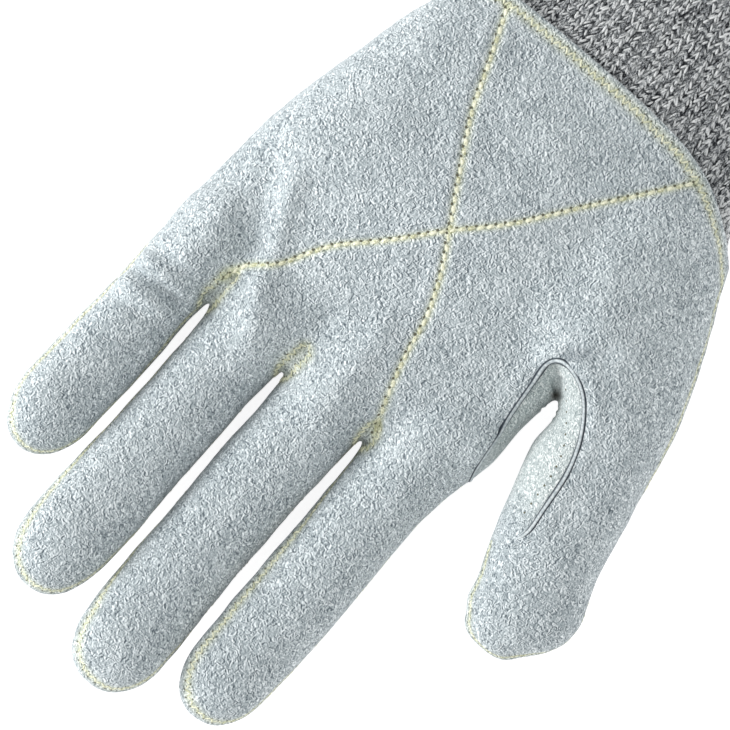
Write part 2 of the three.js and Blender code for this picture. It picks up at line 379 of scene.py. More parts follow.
def points_of(mesh):
    found = np.empty(len(mesh.vertices) * 3)
    mesh.vertices.foreach_get("co", found)
    return found.reshape(-1, 3)


def set_points(mesh, points):
    mesh.vertices.foreach_set("co", points.astype(np.float32).ravel())
    mesh.update()


def normals_of(mesh):
    found = np.empty(len(mesh.vertices) * 3, np.float32)
    mesh.vertex_normals.foreach_get("vector", found)
    return found.reshape(-1, 3).astype(float)


def relaxed(mesh, values, rounds):
    """Values on the points of a mesh, each pulled towards the mean of its neighbours."""
    ends = np.empty(len(mesh.edges) * 2, int)
    mesh.edges.foreach_get("vertices", ends)
    first, second = ends.reshape(-1, 2).T
    count = np.bincount(ends, minlength=len(values)).astype(float)
    table = values.reshape(len(values), -1).copy()
    for _ in range(rounds):
        for column in table.T:
            total = np.bincount(first, column[second], len(values))
            total += np.bincount(second, column[first], len(values))
            column += 0.5 * (total / count - column)
    return table.reshape(values.shape)


def smoothstep(low, high, value):
    """0 up to low, 1 from high on, and a smooth rise between them."""
    t = np.clip((value - low) / (high - low), 0, 1)
    return t * t * (3 - 2 * t)


def distance_to(points, start, end):
    """How far each point is from a straight stretch, seen from the palm."""
    start, end = np.array(start), np.array(end)
    run = end - start
    t = np.clip(((points[:, :2] - start) @ run) / (run @ run), 0, 1)
    return np.linalg.norm(points[:, :2] - start - t[:, None] * run, axis=1)


# Ridges (+) and creases (-) that wear leaves in the leather, along straight stretches seen from the palm.
FOLDS = (
    # x0, y0, x1, y1, half width, height
    (-31, 38, -31, 52, 6.0, 1.0),
    (-4, 30, -5, 54, 5.0, 2.0),
    (20, 52, 25, 42, 3.8, 2.2),
    (25, 42, 36, 17, 3.3, 2.1),
    (45, 30, 45, 48, 4.6, 1.4),
    (8, 38, 9, 50, 3.4, -2.1),
    (33, 44, 35, 36, 3.0, -1.8),
    (33.4, 45.5, 33.4, 54, 1.3, -2.4),
    (8.0, 47.5, 8.0, 54, 1.3, -1.8),
    (-18.6, 49, -18.6, 54, 1.3, -1.6),
    (35, 36, 44, 16, 3.8, -1.6),
    (-18, 44, -19, 52, 3.4, -1.5),
    (37, 62.5, 54, 62.8, 2.2, 1.6),
    (38, 58.4, 56, 58.7, 1.35, -2.5),
    (38, 54.9, 54, 54.9, 2.0, 1.2),
    (36, 51.4, 53, 51.0, 1.5, -1.1),
    (36, 66.4, 52, 67.0, 1.6, -0.7),
    (-16, 60.5, -9, 61.0, 1.0, -0.3),
    (-58, -5, -54, -2, 4.5, 0.9),
    (-43.6, 2.6, -49.4, -2.8, 2.1, -1.5),
    (-30, -8, 26, -6, 18, 2.8),
    (-4, -32, 34, -32, 16, 1.6),
    (33, -50, 42, 6, 12, 2.9),
    (-42, 8, -42, 30, 9, 2.3),
    (49.5, 58, 51.5, 98, 5, 1.0),
    (36.5, 58, 37.5, 98, 5, -0.9),
    (27.5, 64, 29, 116, 5, 0.7),
    (12, 66, 12, 112, 5, -0.5),
    (3, 72, 3, 114, 5, 0.4),
    (-66, -12, -52, -14, 5.0, -0.6),
)


# The slack of the leather: lumps this wide and high.
SLACK = ((11, 0.34), (4.5, 0.16))


def folded(points, normals):
    """The points moved in and out along their normals by the folds and by the slack of the leather."""
    lift = np.zeros(len(points))
    for x0, y0, x1, y1, width, height in FOLDS:
        lift += height * np.exp(-((distance_to(points, (x0, y0), (x1, y1)) / width) ** 2))
    lift *= smoothstep(0.15, 0.75, normals[:, 2])
    slack = [sum(tall * noise.noise(Vector(point) / wide) for wide, tall in SLACK) for point in points]
    lift += np.array(slack) * smoothstep(-0.4, 0.1, normals[:, 2])
    return points + normals * lift[:, None]


def in_metres(mesh):
    mesh.transform(Matrix.Scale(MM, 4))
    return mesh


def marked(mesh, name, values):
    """Keeps one number per point with a mesh, for its finish to read."""
    mesh.attributes.new(name, "FLOAT", "POINT").data.foreach_set("value", np.asarray(values, np.float32))
    return mesh


def piece(name, mesh, *materials, slot):
    """A finished mesh as a piece of the glove."""
    made = bpy.data.objects.new(name, mesh)
    bpy.context.scene.collection.objects.link(made)
    mesh.materials.clear()
    for material in materials:
        mesh.materials.append(material)
    mesh.shade_smooth()
    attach(made, "root")
    return made


def walled(made, thickness, rim=0):
    """Gives a skin its wall, inwards from its face. rim is the number of the cut edge's material."""
    wall = made.modifiers.new("wall", "SOLIDIFY")
    wall.thickness = thickness * MM
    wall.offset = -1
    wall.material_offset_rim = rim


def heather(name, depth, shade=0.0):
    """Yarn of black, grey and white fibres, streaked along the glove, each stitch with its own tone. shade
    darkens all its tones, as painted shade.
    """
    finish = Finish(name)
    along_yarn = finish.node("VectorMath", {"operation": "MULTIPLY"}, {0: finish.place(), 1: (1, 0.4, 1)})
    streaks = finish.grain(0.00030, 3, 0.8, 0.3, along_yarn)
    tone = finish.attribute("fleck") * 0.36 + streaks * 1.75 + (-0.285 - shade)
    colour = finish.ramp(
        tone,
        (0.48, rgb(40, 42, 46)),
        (0.61, rgb(122, 126, 130)),
        (0.71, rgb(176, 180, 182)),
        (0.84, rgb(230, 232, 232)),
    )
    relief = finish.bump(finish.grain(0.00025, 2, 0.6), depth)
    return finish.done(
        Base_Color=colour, Roughness=0.95, Normal=relief, Specular_IOR_Level=0.25, Sheen_Weight=0.15
    )


STITCH_ROOM = 0.5
KNIT_INSET = SKIN + STITCH_ROOM
KNIT_VOXEL = 1.5
KNIT_ROUNDS = 4
knit_skin = fused(KNIT_VOXEL, KNIT_ROUNDS, KNIT_INSET)
knit_points = folded(points_of(knit_skin), normals_of(knit_skin))
knit_points[:, 2] = np.maximum(knit_points[:, 2], KNIT_INSET - SKIN)
set_points(knit_skin, knit_points)

KNIT_START = -51
knit_shape = bmesh.new()
knit_shape.from_mesh(knit_skin)
everything = knit_shape.verts[:] + knit_shape.edges[:] + knit_shape.faces[:]
bmesh.ops.bisect_plane(
    knit_shape, geom=everything, plane_co=(0, KNIT_START, 0), plane_no=(0, -1, 0), clear_outer=True
)
knit_shape.to_mesh(knit_skin)
knit_tree = BVHTree.FromBMesh(knit_shape)
knit_shape.free()
# The knit under the stitches is darkened with painted shade, for the shade between the stitches.
shaded_ground_yarn = heather("shaded_ground_yarn", 0.0001, 0.20)
marked(knit_skin, "fleck", np.random.default_rng(3).random(len(knit_skin.vertices)))
knit = piece("knit_glove", in_metres(knit_skin), shaded_ground_yarn, slot="knit")
walled(knit, KNIT_WALL - STITCH_ROOM)
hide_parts("knit_hand", *("knit_" + name for name in DIGITS))

# The palm leather: one piece of split leather with its napped side out, cut to cover the palm and the front
# and flanks of all five stalls. Its wrist edge is a shallow curve, and its notch makes room for the gusset.
WRIST_EDGE = (
    (-80, -24),
    (-62, -36),
    (-53, -44.2),
    (-44, -50),
    (-33, -53.8),
    (-18, -55.3),
    (0, -55.4),
    (16, -55.0),
    (27, -53.8),
    (36, -49.5),
    (44, -42),
    (60, -30),
)
NOTCH_EDGE = (
    (-64.0, 44.0),
    (-62.7, 34.0),
    (-61.7, 27.0),
    (-59.3, 19.2),
    (-55.2, 11.7),
    (-50.8, 7.0),
    (-46.0, 4.5),
    (-41.9, 5.0),
    (-39.2, 10.2),
    (-39.5, 18.0),
    (-40.9, 28.0),
    (-42.2, 36.0),
    (-45.2, 42.5),
)
NOTCH_MOUTH = ((-50.0, 47.0), (-56.0, 49.5), (-62.0, 46.5))
PALM_LINES = {
    "palm_line_index": (
        (26, -51), (20, -37), (15, -25), (10, -16.5), (5, -8), (0, 0),
        (-5, 8.5), (-10, 20), (-12, 29), (-15, 39), (-19.3, 50),
    ),
    "palm_line_ring": (
        (-37.5, -49), (-31, -40), (-20, -25), (-10, -11), (0, 0),
        (10, 12), (20, 23), (27, 35), (33, 41), (34.3, 46),
    ),
}


def unit(vectors):
    return vectors / np.maximum(np.linalg.norm(vectors, axis=-1, keepdims=True), 1e-9)


def above_edge(points):
    """How far each point lies above the line where the palm leather ends, on the hand and on each digit."""
    found = np.full(len(points), 99.0)
    x, y, z = points.T
    for part in (HAND, *DIGITS.values()):
        rows = part["rows"]
        row = along(rows, y).T
        share = (x - row[LEFT]) / (row[RIGHT] - row[LEFT])
        edge = row[SEAM_LEFT] + (row[SEAM_RIGHT] - row[SEAM_LEFT]) * share
        beside = (x > row[LEFT] - 1.2) & (x < row[RIGHT] + 1.2)
        beside &= (y > rows[0, Y] - 12) & (y < part["tip"] + 5)
        found = np.where(beside, np.minimum(found, z - edge), found)
    return found


def curve(points, step):
    """Points at about equal steps on a smooth line through a few."""
    points = np.array(points, float)
    length = np.concatenate([[0], np.cumsum(np.linalg.norm(np.diff(points, axis=0), axis=1))])
    places = np.linspace(0, length[-1], max(2, round(length[-1] / step)))
    return along(np.column_stack([length, points]), places)[:, 1:]


def line_distance(points, line):
    """How far each point is from a line, seen from the palm."""
    return np.min([distance_to(points, a, b) for a, b in zip(line[:-1], line[1:])], axis=0)


def within(points, outline):
    """Whether each point lies inside a closed outline, seen from the palm."""
    x, y = points[:, 0], points[:, 1]
    odd = np.zeros(len(points), bool)
    for (x0, y0), (x1, y1) in zip(outline, np.roll(outline, -1, axis=0)):
        odd ^= ((y0 > y) != (y1 > y)) & (x < (x1 - x0) * (y - y0) / (y1 - y0 + 1e-12) + x0)
    return odd


notch_line = curve(NOTCH_EDGE, 1.5)
notch_outline = np.concatenate([notch_line, NOTCH_MOUTH])


def out_of_notch(points):
    """How far each point lies outside the notch; below zero inside it."""
    away = line_distance(points, np.concatenate([notch_outline, notch_outline[:1]]))
    return np.where(within(points, notch_outline), -away, away)


def cut_out(mesh, field):
    """The part of a skin where the field is above zero, with a clean edge where it is zero."""
    shape = bmesh.new()
    shape.from_mesh(mesh)
    value = shape.verts.layers.float.new("field")
    for vertex, number in zip(shape.verts, field):
        vertex[value] = number
    outside = [face for face in shape.faces if all(vertex[value] < 0 for vertex in face.verts)]
    bmesh.ops.delete(shape, geom=outside, context="FACES")
    for snapping in (True, False):
        for edge in shape.edges[:]:
            first, second = edge.verts
            if first[value] * second[value] >= 0:
                continue
            share = first[value] / (first[value] - second[value])
            place = first.co.lerp(second.co, share)
            if snapping and min(share, 1 - share) < 0.3:
                near = first if share < 0.5 else second
                near.co = place
                near[value] = 0
            elif not snapping:
                _, made = bmesh.utils.edge_split(edge, first, share)
                made[value] = 0
    rim = [vertex for vertex in shape.verts if vertex[value] == 0]
    bmesh.ops.connect_verts(shape, verts=rim)
    outside = [face for face in shape.faces if min(vertex[value] for vertex in face.verts) < 0]
    bmesh.ops.delete(shape, geom=outside, context="FACES")
    shape.verts.layers.float.remove(value)
    return shape


def edge_loops(shape):
    """The points of each open edge of a skin, in order."""
    beside = {}
    for edge in shape.edges:
        if edge.is_boundary:
            first, second = edge.verts
            beside.setdefault(first, []).append(second)
            beside.setdefault(second, []).append(first)
    loops = []
    while beside:
        start = next(iter(beside))
        loop, here = [start], start
        while here:
            ahead = [vertex for vertex in beside.pop(here, []) if vertex in beside]
            here = ahead[0] if ahead else None
            if here:
                loop.append(here)
        loops.append(np.array([vertex.co for vertex in loop]))
    return sorted(loops, key=len, reverse=True)


PALM_NAP = 0.00062
PALM_TONES = ((0.27, rgb(86, 97, 104)), (0.47, rgb(169, 179, 183)), (0.67, rgb(241, 247, 249)))
SEAM_TONES = ((0.27, rgb(124, 130, 106)), (0.47, rgb(204, 208, 176)), (0.67, rgb(250, 251, 226)))


def suede(name, tones, nap, fade_tones, shade):
    """Split leather: a matt nap of short curly fibres, mottled a little in tone, with the light and shade
    of its fibres as lit from the lamp's side painted into its colour. Where the attribute fade rises to 1
    it has the second set of tones, and where shade does, that dark colour of painted shade."""
    finish = Finish(name)
    place = finish.place()
    # Painted light and shade: the colour takes the nap's relief as lit from the lamp's side, an emboss of
    # the grain against a copy shifted towards the lamp.
    lamp_offset_place = finish.node("VectorMath", {"operation": "ADD"}, {0: place, 1: (nap * 0.40, nap * 0.30, 0)})
    curls = finish.grain(nap * 1.7, 1.3, 0.45, 1.5, place)
    painted_emboss = finish.grain(nap * 1.7, 1.3, 0.45, 1.5, lamp_offset_place) - curls
    patches = finish.grain(0.012, 3, 0.55, 0.4, place)
    tone = 0.47 - painted_emboss * 0.58 + (curls - 0.5) * 0.36 + (patches - 0.5) * 0.12
    colour = finish.ramp(tone, *tones)
    colour = finish.mixed(finish.attribute("fade"), colour, finish.ramp(tone, *fade_tones))
    colour = finish.mixed(finish.attribute("shade"), colour, shade)
    relief = finish.bump(curls, 0.00042)
    return finish.done(
        Base_Color=colour, Roughness=0.95, Specular_IOR_Level=0.15, Normal=relief, Sheen_Weight=0.15
    )


def cut_edge(name):
    """The bare side of cut leather: looser, darker fibre."""
    finish = Finish(name)
    fibre = finish.grain(0.0004, 3, 0.7)
    colour = finish.ramp(fibre, (0.35, rgb(112, 117, 121)), (0.65, rgb(168, 174, 176)))
    return finish.done(Base_Color=colour, Roughness=0.95, Normal=finish.bump(finish.grain(0.0003), 0.0002))


# The tubes are fused a little too thin and then swelled, which keeps the gaps between the stalls open.
SWELL = 0.7
LEATHER_VOXEL = 0.9
LEATHER_ROUNDS = 12
leather_skin = fused(LEATHER_VOXEL, LEATHER_ROUNDS, SWELL)
flat_points = points_of(leather_skin) + normals_of(leather_skin) * SWELL
set_points(leather_skin, flat_points)
flat_normals = normals_of(leather_skin)
cover = relaxed(leather_skin, above_edge(flat_points), 18)
wrist_line = curve(WRIST_EDGE, 1.0)
past_wrist = flat_points[:, 1] - np.interp(flat_points[:, 0], wrist_line[:, 0], wrist_line[:, 1])
notch = out_of_notch(flat_points)

# The leather rises a little round the notch, and each palm line pulls a groove with soft ridges into it.
NOTCH_LIFT = 0.9
LINE_RIDGE = 0.22
LINE_GROOVE = 0.5
lifted = folded(flat_points, flat_normals)
palm_side = smoothstep(0.0, 0.5, flat_normals[:, 2])
by_notch = line_distance(flat_points, notch_line)
lift = NOTCH_LIFT * (1 - smoothstep(2.0, 6.0, by_notch)) * (1 - smoothstep(36, 44, flat_points[:, 1]))
for line in PALM_LINES.values():
    away = line_distance(flat_points, curve(line, 2.0))
    ridge = LINE_RIDGE * np.exp(-(((away - 2.6) / 1.3) ** 2))
    lift += palm_side * (ridge - LINE_GROOVE * np.exp(-((away / 0.9) ** 2)))
set_points(leather_skin, lifted + flat_normals * lift[:, None])

# The zigzag seam runs inside the cut edge, cuts the corner at each fork and pulls a shallow groove.
SEAM_GROOVE = 0.35
SEAM_INSET = 3.4
HEM_INSET = 2.6
FORK_INSET = 1.4
FORKS = (((-18.6, 54), (-18.6, 50.6)), ((7.8, 54), (7.2, 47.2)), ((33.4, 54), (33.9, 45.0)))
from_forks = np.min([distance_to(flat_points, *ends) for ends in FORKS], axis=0)
from_forks = np.where(flat_normals[:, 2] > 0, from_forks, 9) - FORK_INSET
seam_field = np.minimum.reduce([cover - SEAM_INSET, past_wrist - HEM_INSET, from_forks])
seam_shape = cut_out(leather_skin, seam_field)
seam_loop = edge_loops(seam_shape)[0]
seam_shape.free()
from_seam = np.abs(seam_field)
seam_dip = -SEAM_GROOVE * np.exp(-((from_seam / 1.1) ** 2)) * smoothstep(1.0, 4.0, notch)
set_points(leather_skin, lifted + flat_normals * (lift + seam_dip)[:, None])

leather_shape = cut_out(leather_skin, np.minimum.reduce([cover, past_wrist, notch]))
leather_edge = edge_loops(leather_shape)[0]
leather_mesh = bpy.data.meshes.new("palm_suede_skin")
leather_shape.to_mesh(leather_mesh)
leather_points = points_of(leather_mesh)

# Close to the sewing the leather takes on the tone of the thread, and along a crease over the notch it is
# darkened with painted shade.
NOTCH_CREASE = ((-42.5, 4.2), (-48.5, -1.8))
tinge = np.zeros(len(leather_points))
for line in PALM_LINES.values():
    tinge += 0.8 * np.exp(-((line_distance(leather_points, curve(line, 2.0)) / 0.9) ** 2))
seam_finder = KDTree(len(seam_loop))
for number, spot in enumerate(seam_loop):
    seam_finder.insert(spot, number)
seam_finder.balance()
from_thread = np.array([seam_finder.find(point)[2] for point in leather_points])
tinge += 0.6 * np.exp(-((from_thread / 1.5) ** 2)) * smoothstep(1.0, 3.0, out_of_notch(leather_points))
marked(leather_mesh, "fade", np.minimum(tinge, 1))
leather_tree = BVHTree.FromBMesh(leather_shape)
leather_shape.free()
# Painted shadow: a soft dark band along a crease beside the notch's apex, in the leather's colour.
from_crease = distance_to(leather_points, *NOTCH_CREASE)
crease_shade = 0.5 * np.exp(-((from_crease / 2.0) ** 2)) * smoothstep(-50, -42, leather_points[:, 0])
marked(leather_mesh, "shade", crease_shade)
palm_suede = suede("palm_suede", PALM_TONES, PALM_NAP, SEAM_TONES, rgb(92, 100, 106))
bare_edge = cut_edge("cut_suede")
leather = piece("palm_suede_skin", in_metres(leather_mesh), palm_suede, bare_edge, slot="palm_leather")
walled(leather, LEATHER, rim=1)
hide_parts("palm_leather")


def even(line, step, closed=False):
    """The same line with its points at equal steps."""
    if closed:
        line = np.concatenate([line, line[:1]])
    length = np.concatenate([[0], np.cumsum(np.linalg.norm(np.diff(line, axis=0), axis=1))])
    places = np.linspace(0, length[-1], round(length[-1] / step) + 1)
    return np.column_stack([np.interp(places, length, column) for column in line.T])


def landed(points, tree):
    """The nearest places on a skin, and the skin's normals there."""
    found = [tree.find_nearest(point) for point in points]
    return np.array([hit[0] for hit in found]), np.array([hit[1] for hit in found])


def eased(line, rounds):
    """A line with its small zigzags smoothed away and its ends kept."""
    for _ in range(rounds):
        line = np.concatenate([line[:1], (line[:-2] + line[1:-1] * 2 + line[2:]) / 4, line[-1:]])
    return line


# The lip of the notch: the thick cut edge of the palm leather, turned up by the gusset under it. It shows
# as a pale strip between two dark lines of painted shade, and is made as a strip with this profile along
# the cut edge.
LIP_ACROSS = (-0.55, -0.25, 0.0, 0.3, 0.72, 0.98, 1.3)
LIP_HEIGHT = (-0.9, -0.05, 0.24, 0.36, 0.36, 0.2, -0.25)
# How much painted shade each line of the profile takes: the two dark lines.
LIP_SHADE = (1.0, 1.0, 0.85, 0.1, 0.1, 1.0, 1.0)
LIP_REACH = 2.2
LIP_STEP = 0.6
LIP_TAPER = 5
LIP_WALL = 0.3
beside_notch = line_distance(leather_edge, notch_line) < LIP_REACH
turns = np.flatnonzero(~beside_notch)
start = turns[np.argmax(np.diff(np.append(turns, turns[0] + len(leather_edge))))]
lip_line = np.roll(leather_edge, -start - 1, axis=0)[np.roll(beside_notch, -start - 1)]
lip_line = eased(even(lip_line, LIP_STEP), 24)
_, lip_normals = landed(lip_line, leather_tree)
lip_normals = eased(unit(lip_normals), 12)
lip_across = unit(np.cross(lip_normals, np.gradient(lip_line, axis=0)))
outwards = out_of_notch(lip_line + lip_across) > out_of_notch(lip_line - lip_across)
lip_across *= np.where(outwards, 1, -1)[:, None]
from_end = np.minimum(np.arange(len(lip_line)), np.arange(len(lip_line))[::-1]) * LIP_STEP
lip_taper = smoothstep(0, LIP_TAPER, from_end)
lip_shape = bmesh.new()
bmesh.ops.create_grid(lip_shape, x_segments=len(lip_line) - 1, y_segments=len(LIP_ACROSS) - 1, size=0.5)
shade = lip_shape.verts.layers.float.new("shade")
for vertex in lip_shape.verts:
    place = round((vertex.co.x + 0.5) * (len(lip_line) - 1))
    strip = round((vertex.co.y + 0.5) * (len(LIP_ACROSS) - 1))
    height = LIP_HEIGHT[strip] - 0.25 * (1 - lip_taper[place])
    spot = lip_line[place] + lip_across[place] * LIP_ACROSS[strip] + lip_normals[place] * height
    vertex.co = Vector(spot)
    vertex[shade] = LIP_SHADE[strip]
bmesh.ops.recalc_face_normals(lip_shape, faces=lip_shape.faces)
lip_shape.normal_update()
if sum(face.normal.z for face in lip_shape.faces) < 0:
    bmesh.ops.reverse_faces(lip_shape, faces=lip_shape.faces)
lip_mesh = bpy.data.meshes.new("notch_lip")
lip_shape.to_mesh(lip_mesh)
lip_shape.free()
lip_finish = Finish("lip_suede")
lip_fibre = lip_finish.grain(0.0006, 2)
lip_tone = lip_finish.ramp(lip_fibre, (0.4, rgb(172, 182, 186)), (0.6, rgb(214, 221, 223)))
# The strip's dark lines are painted shade.
lip_colour = lip_finish.mixed(lip_finish.attribute("shade"), lip_tone, rgb(50, 58, 66))
lip_suede = lip_finish.done(Base_Color=lip_colour, Roughness=0.95)
lip = piece("notch_lip", in_metres(lip_mesh), lip_suede, slot="palm_leather")
walled(lip, LIP_WALL)

# The gusset: a U of finer, paler split leather that wraps the fork of the thumb. Its edges lie under the
# notch of the palm leather, and it ripples round the pit of the fork, where painted shade darkens it.
GUSSET_TONES = ((0.27, rgb(138, 149, 151)), (0.47, rgb(183, 193, 193)), (0.67, rgb(248, 252, 250)))
GUSSET_NAP = 0.00056
GUSSET_WALL = 1.0
GUSSET_LAP = 2.2
GUSSET_INSET = 0.45
GUSSET_DROP = 0.8
PIT = (-47.0, 13.0)
gusset_cover = np.minimum(cover + GUSSET_DROP, GUSSET_LAP - notch)
from_pit = np.linalg.norm(flat_points[:, :2] - PIT, axis=1)
ripple = 0.25 * np.sin(from_pit * 4.4) * np.exp(-(((from_pit - 4.5) / 1.8) ** 2))
gusset_depth = GUSSET_INSET - (GUSSET_INSET + 0.03) * smoothstep(38, 45, flat_points[:, 1]) + ripple
set_points(leather_skin, lifted - flat_normals * gusset_depth[:, None])
gusset_shape = cut_out(leather_skin, gusset_cover)
gusset_mesh = bpy.data.meshes.new("gusset_skin")
gusset_shape.to_mesh(gusset_mesh)
gusset_shape.free()
gusset_points = points_of(gusset_mesh)
gusset_faces = [list(face.vertices) for face in gusset_mesh.polygons]
gusset_tree = BVHTree.FromPolygons(gusset_points.tolist(), gusset_faces)
marked(gusset_mesh, "fade", smoothstep(32, 46, gusset_points[:, 1]))
from_pit = np.linalg.norm(gusset_points[:, :2] - PIT, axis=1)
# Painted shade darkens the gusset round the pit of the fork.
marked(gusset_mesh, "shade", 0.97 * np.exp(-((from_pit / 1.4) ** 3)))
gusset_suede = suede("gusset_suede", GUSSET_TONES, GUSSET_NAP, PALM_TONES, rgb(66, 66, 58))
gusset_rim = cut_edge("gusset_edge")
gusset = piece("gusset_skin", in_metres(gusset_mesh), gusset_suede, gusset_rim, slot="gusset_leather")
walled(gusset, GUSSET_WALL, rim=1)
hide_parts("thumb_gusset")


# Small things that repeat, such as stitches, are copies of one small shape. A frame is a 4x4 matrix whose
# columns are the copy's length, width and height directions, scaled, and its middle.
def bead(across, along_it, dip=0.0):
    """A stitch of unit length and thickness as points and triangles. Its ends dip by dip thicknesses."""
    shape = bmesh.new()
    bmesh.ops.create_uvsphere(shape, u_segments=across, v_segments=along_it, radius=0.5)
    bmesh.ops.rotate(shape, verts=shape.verts, matrix=Matrix.Rotation(math.pi / 2, 3, "Y"))
    for vertex in shape.verts:
        full = (1 - (2 * vertex.co.x) ** 2) ** 0.5 if abs(vertex.co.x) < 0.499 else 1
        blunt = (1 - abs(2 * vertex.co.x) ** 5) ** 0.5 if abs(vertex.co.x) < 0.499 else 1
        vertex.co.y *= blunt / full
        vertex.co.z = vertex.co.z * blunt / full - dip * (2 * vertex.co.x) ** 2
    shape.verts.index_update()
    points = np.array([vertex.co for vertex in shape.verts])
    # The sphere's faces and their first corners come in another order each run, so they are sorted.
    faces = []
    for face in shape.faces:
        corners = [vertex.index for vertex in face.verts]
        first = corners.index(min(corners))
        corners = corners[first:] + corners[:first]
        faces += [(corners[0], *pair) for pair in zip(corners[1:], corners[2:])]
    shape.free()
    return points, np.array(sorted(faces))


def copies(name, template, frames, lowest=None):
    """One mesh in millimetres with a copy of a template at every frame, each with its own random fleck."""
    points, faces = template
    frames = np.array(frames)
    placed = np.einsum("nij,pj->npi", frames[:, :3, :3], points) + frames[:, None, :3, 3]
    if lowest is not None:
        placed[..., 2] = np.maximum(placed[..., 2], lowest)
    shifts = np.arange(len(frames))[:, None, None] * len(points)
    mesh = bpy.data.meshes.new(name)
    mesh.from_pydata(placed.reshape(-1, 3), [], (faces[None] + shifts).reshape(-1, 3))
    return marked(mesh, "fleck", np.repeat(np.random.default_rng(4).random(len(frames)), len(points)))


def frames_between(starts, ends, normals, width, height, sink=0.0):
    """Frames for stitches that run from each start to each end, on a surface with those normals."""
    run = ends - starts
    side = unit(np.cross(normals, run))
    up = unit(np.cross(run, side))
    frames = np.zeros((len(run), 4, 4))
    frames[:, :3, 0] = run
    frames[:, :3, 1] = side * width
    frames[:, :3, 2] = up * height
    frames[:, :3, 3] = (starts + ends) / 2 - up * sink
    frames[:, 3, 3] = 1
    return frames


# Knitted stitches: each is a V of two slanted yarn legs, and the Vs stand in columns that run along the
# glove. All legs are copies of one slim shape.
LEG_SLANT = math.radians(24)


def vees(middles, normals, columns, spread, length, width, height):
    """Frames for the two legs of the V at each middle. columns is the direction in which the Vs stand."""
    side = unit(np.cross(columns, normals))
    made = []
    for way in (-1, 1):
        lean = unit(columns) * math.cos(LEG_SLANT) + side * way * math.sin(LEG_SLANT)
        centre = middles + side * way * spread
        half = lean * length / 2
        made.append(frames_between(centre - half, centre + half, normals, width, height))
    return np.concatenate(made)


# The jersey of the hand and the stalls, which shows on the back of the glove and beside the leather. Its Vs
# stand on the fused knit, go on a little way under the leather's edge, and keep clear of each other at the
# forks.
WALE = 2.25
COURSE = 1.75
JERSEY_SPREAD = 0.5
JERSEY_LEG = (2.35, 0.92, 0.8)
JERSEY_LIFT = 0.12
OFF_KNIT = 1.2
UNDER_EDGE = 1.5
CLEARANCE = 1.3
jersey_yarn = heather("jersey_yarn", 0.00012)


def girdle(row, inset, count, size=1.0):
    """Points at equal distances round one section, this far inside its outline, their outward normals, and
    the way round it."""
    turn = np.linspace(0, 2 * math.pi, 721)
    power = 2 / OVAL_POWER
    x = np.sign(np.cos(turn)) * np.abs(np.cos(turn)) ** power
    z = np.sign(np.sin(turn)) * np.abs(np.sin(turn)) ** power
    x = x * ((row[RIGHT] - row[LEFT]) / 2 - inset) * size + (row[LEFT] + row[RIGHT]) / 2
    z = z * ((row[PALM] - row[BACK]) / 2 - inset) * size + (row[PALM] + row[BACK]) / 2
    z = np.maximum(z, inset)
    length = np.concatenate([[0], np.cumsum(np.hypot(np.diff(x), np.diff(z)))])
    at = (np.arange(count) + 0.5) / count * length[-1]
    ring = np.column_stack([np.interp(at, length, x), np.full(count, row[Y]), np.interp(at, length, z)])
    ahead = np.roll(ring, -1, axis=0) - np.roll(ring, 1, axis=0)
    return ring, unit(np.column_stack([ahead[:, 2], np.zeros(count), -ahead[:, 0]])), length[-1]


# Where stitches stand already.
jersey_spots = []


def jersey(part, start, end):
    """Frames for the stitches of one tube, on the fused knit, where no leather and no earlier stitch is."""
    rows, sizes = stations(part)
    places = np.arange(start, end, COURSE)
    table = np.column_stack([rows, sizes])
    courses = np.array([np.interp(places, rows[:, Y], column) for column in table.T]).T
    widest = max(girdle(course[:-1], SKIN, 8)[2] for course in courses)
    count = round(widest / WALE)
    rings = np.array([girdle(course[:-1], SKIN, count, course[-1])[0] for course in courses])
    ahead = np.gradient(rings, axis=0)
    found = []
    for middle, column in zip(rings.reshape(-1, 3), ahead.reshape(-1, 3)):
        hit, normal, _, gap = knit_tree.find_nearest(middle)
        if gap < OFF_KNIT:
            found.append((*hit, *normal, *column))
    middles, normals, columns = np.array(found).reshape(-1, 3, 3).transpose(1, 0, 2)
    past_hem = middles[:, 1] - np.interp(middles[:, 0], wrist_line[:, 0], wrist_line[:, 1])
    shown = np.minimum(above_edge(middles), past_hem) < UNDER_EDGE
    if jersey_spots:
        taken = KDTree(len(jersey_spots))
        for number, spot in enumerate(jersey_spots):
            taken.insert(spot, number)
        taken.balance()
        shown &= [taken.find(middle)[2] > CLEARANCE for middle in middles]
    middles, normals, columns = middles[shown], normals[shown], columns[shown]
    jersey_spots.extend(middles)
    return vees(middles + normals * JERSEY_LIFT, normals, columns, JERSEY_SPREAD, *JERSEY_LEG)


FLOOR_GAP = 0.02
STALL_STARTS = {"thumb": -44, "index": 25, "middle": 25, "ring": 25, "little": 25}
yarn_leg = bead(4, 3)
hand_legs = jersey(HAND, KNIT_START + 0.8, 54)
stall_legs = [jersey(part, STALL_STARTS[name], part["tip"] - 2) for name, part in DIGITS.items()]
for name, legs in (("hand_stitches", hand_legs), ("stall_stitches", np.concatenate(stall_legs))):
    piece(name, in_metres(copies(name, yarn_leg, legs, FLOOR_GAP)), jersey_yarn, slot="knit")

# The ribbed cuff: a tube of the same yarn that draws in at the wrist. Its ribs run the length of the cuff,
# each carries a column of Vs in two plies, and its open end is overcast with the yarn.
CUFF = np.array(
    (
        (-118, -47.0, 30.0, -2, 40.5),
        (-104, -46.3, 29.3, -2, 39.8),
        (-88, -46.0, 29.0, -2, 39.5),
        (-68, -48.2, 31.4, -2, 39.8),
        (-49, -52.3, 36.3, -2, 40.6),
    ),
    float,
)
RIB_PITCH = 3.0
RIB_DEPTH = 0.6
RIB_POINTS = 6
CUFF_RING_STEP = 3
CUFF_INSET = 0.5
CUFF_WALL = 1.2
cuff_yarn = heather("cuff_yarn", 0.00012)

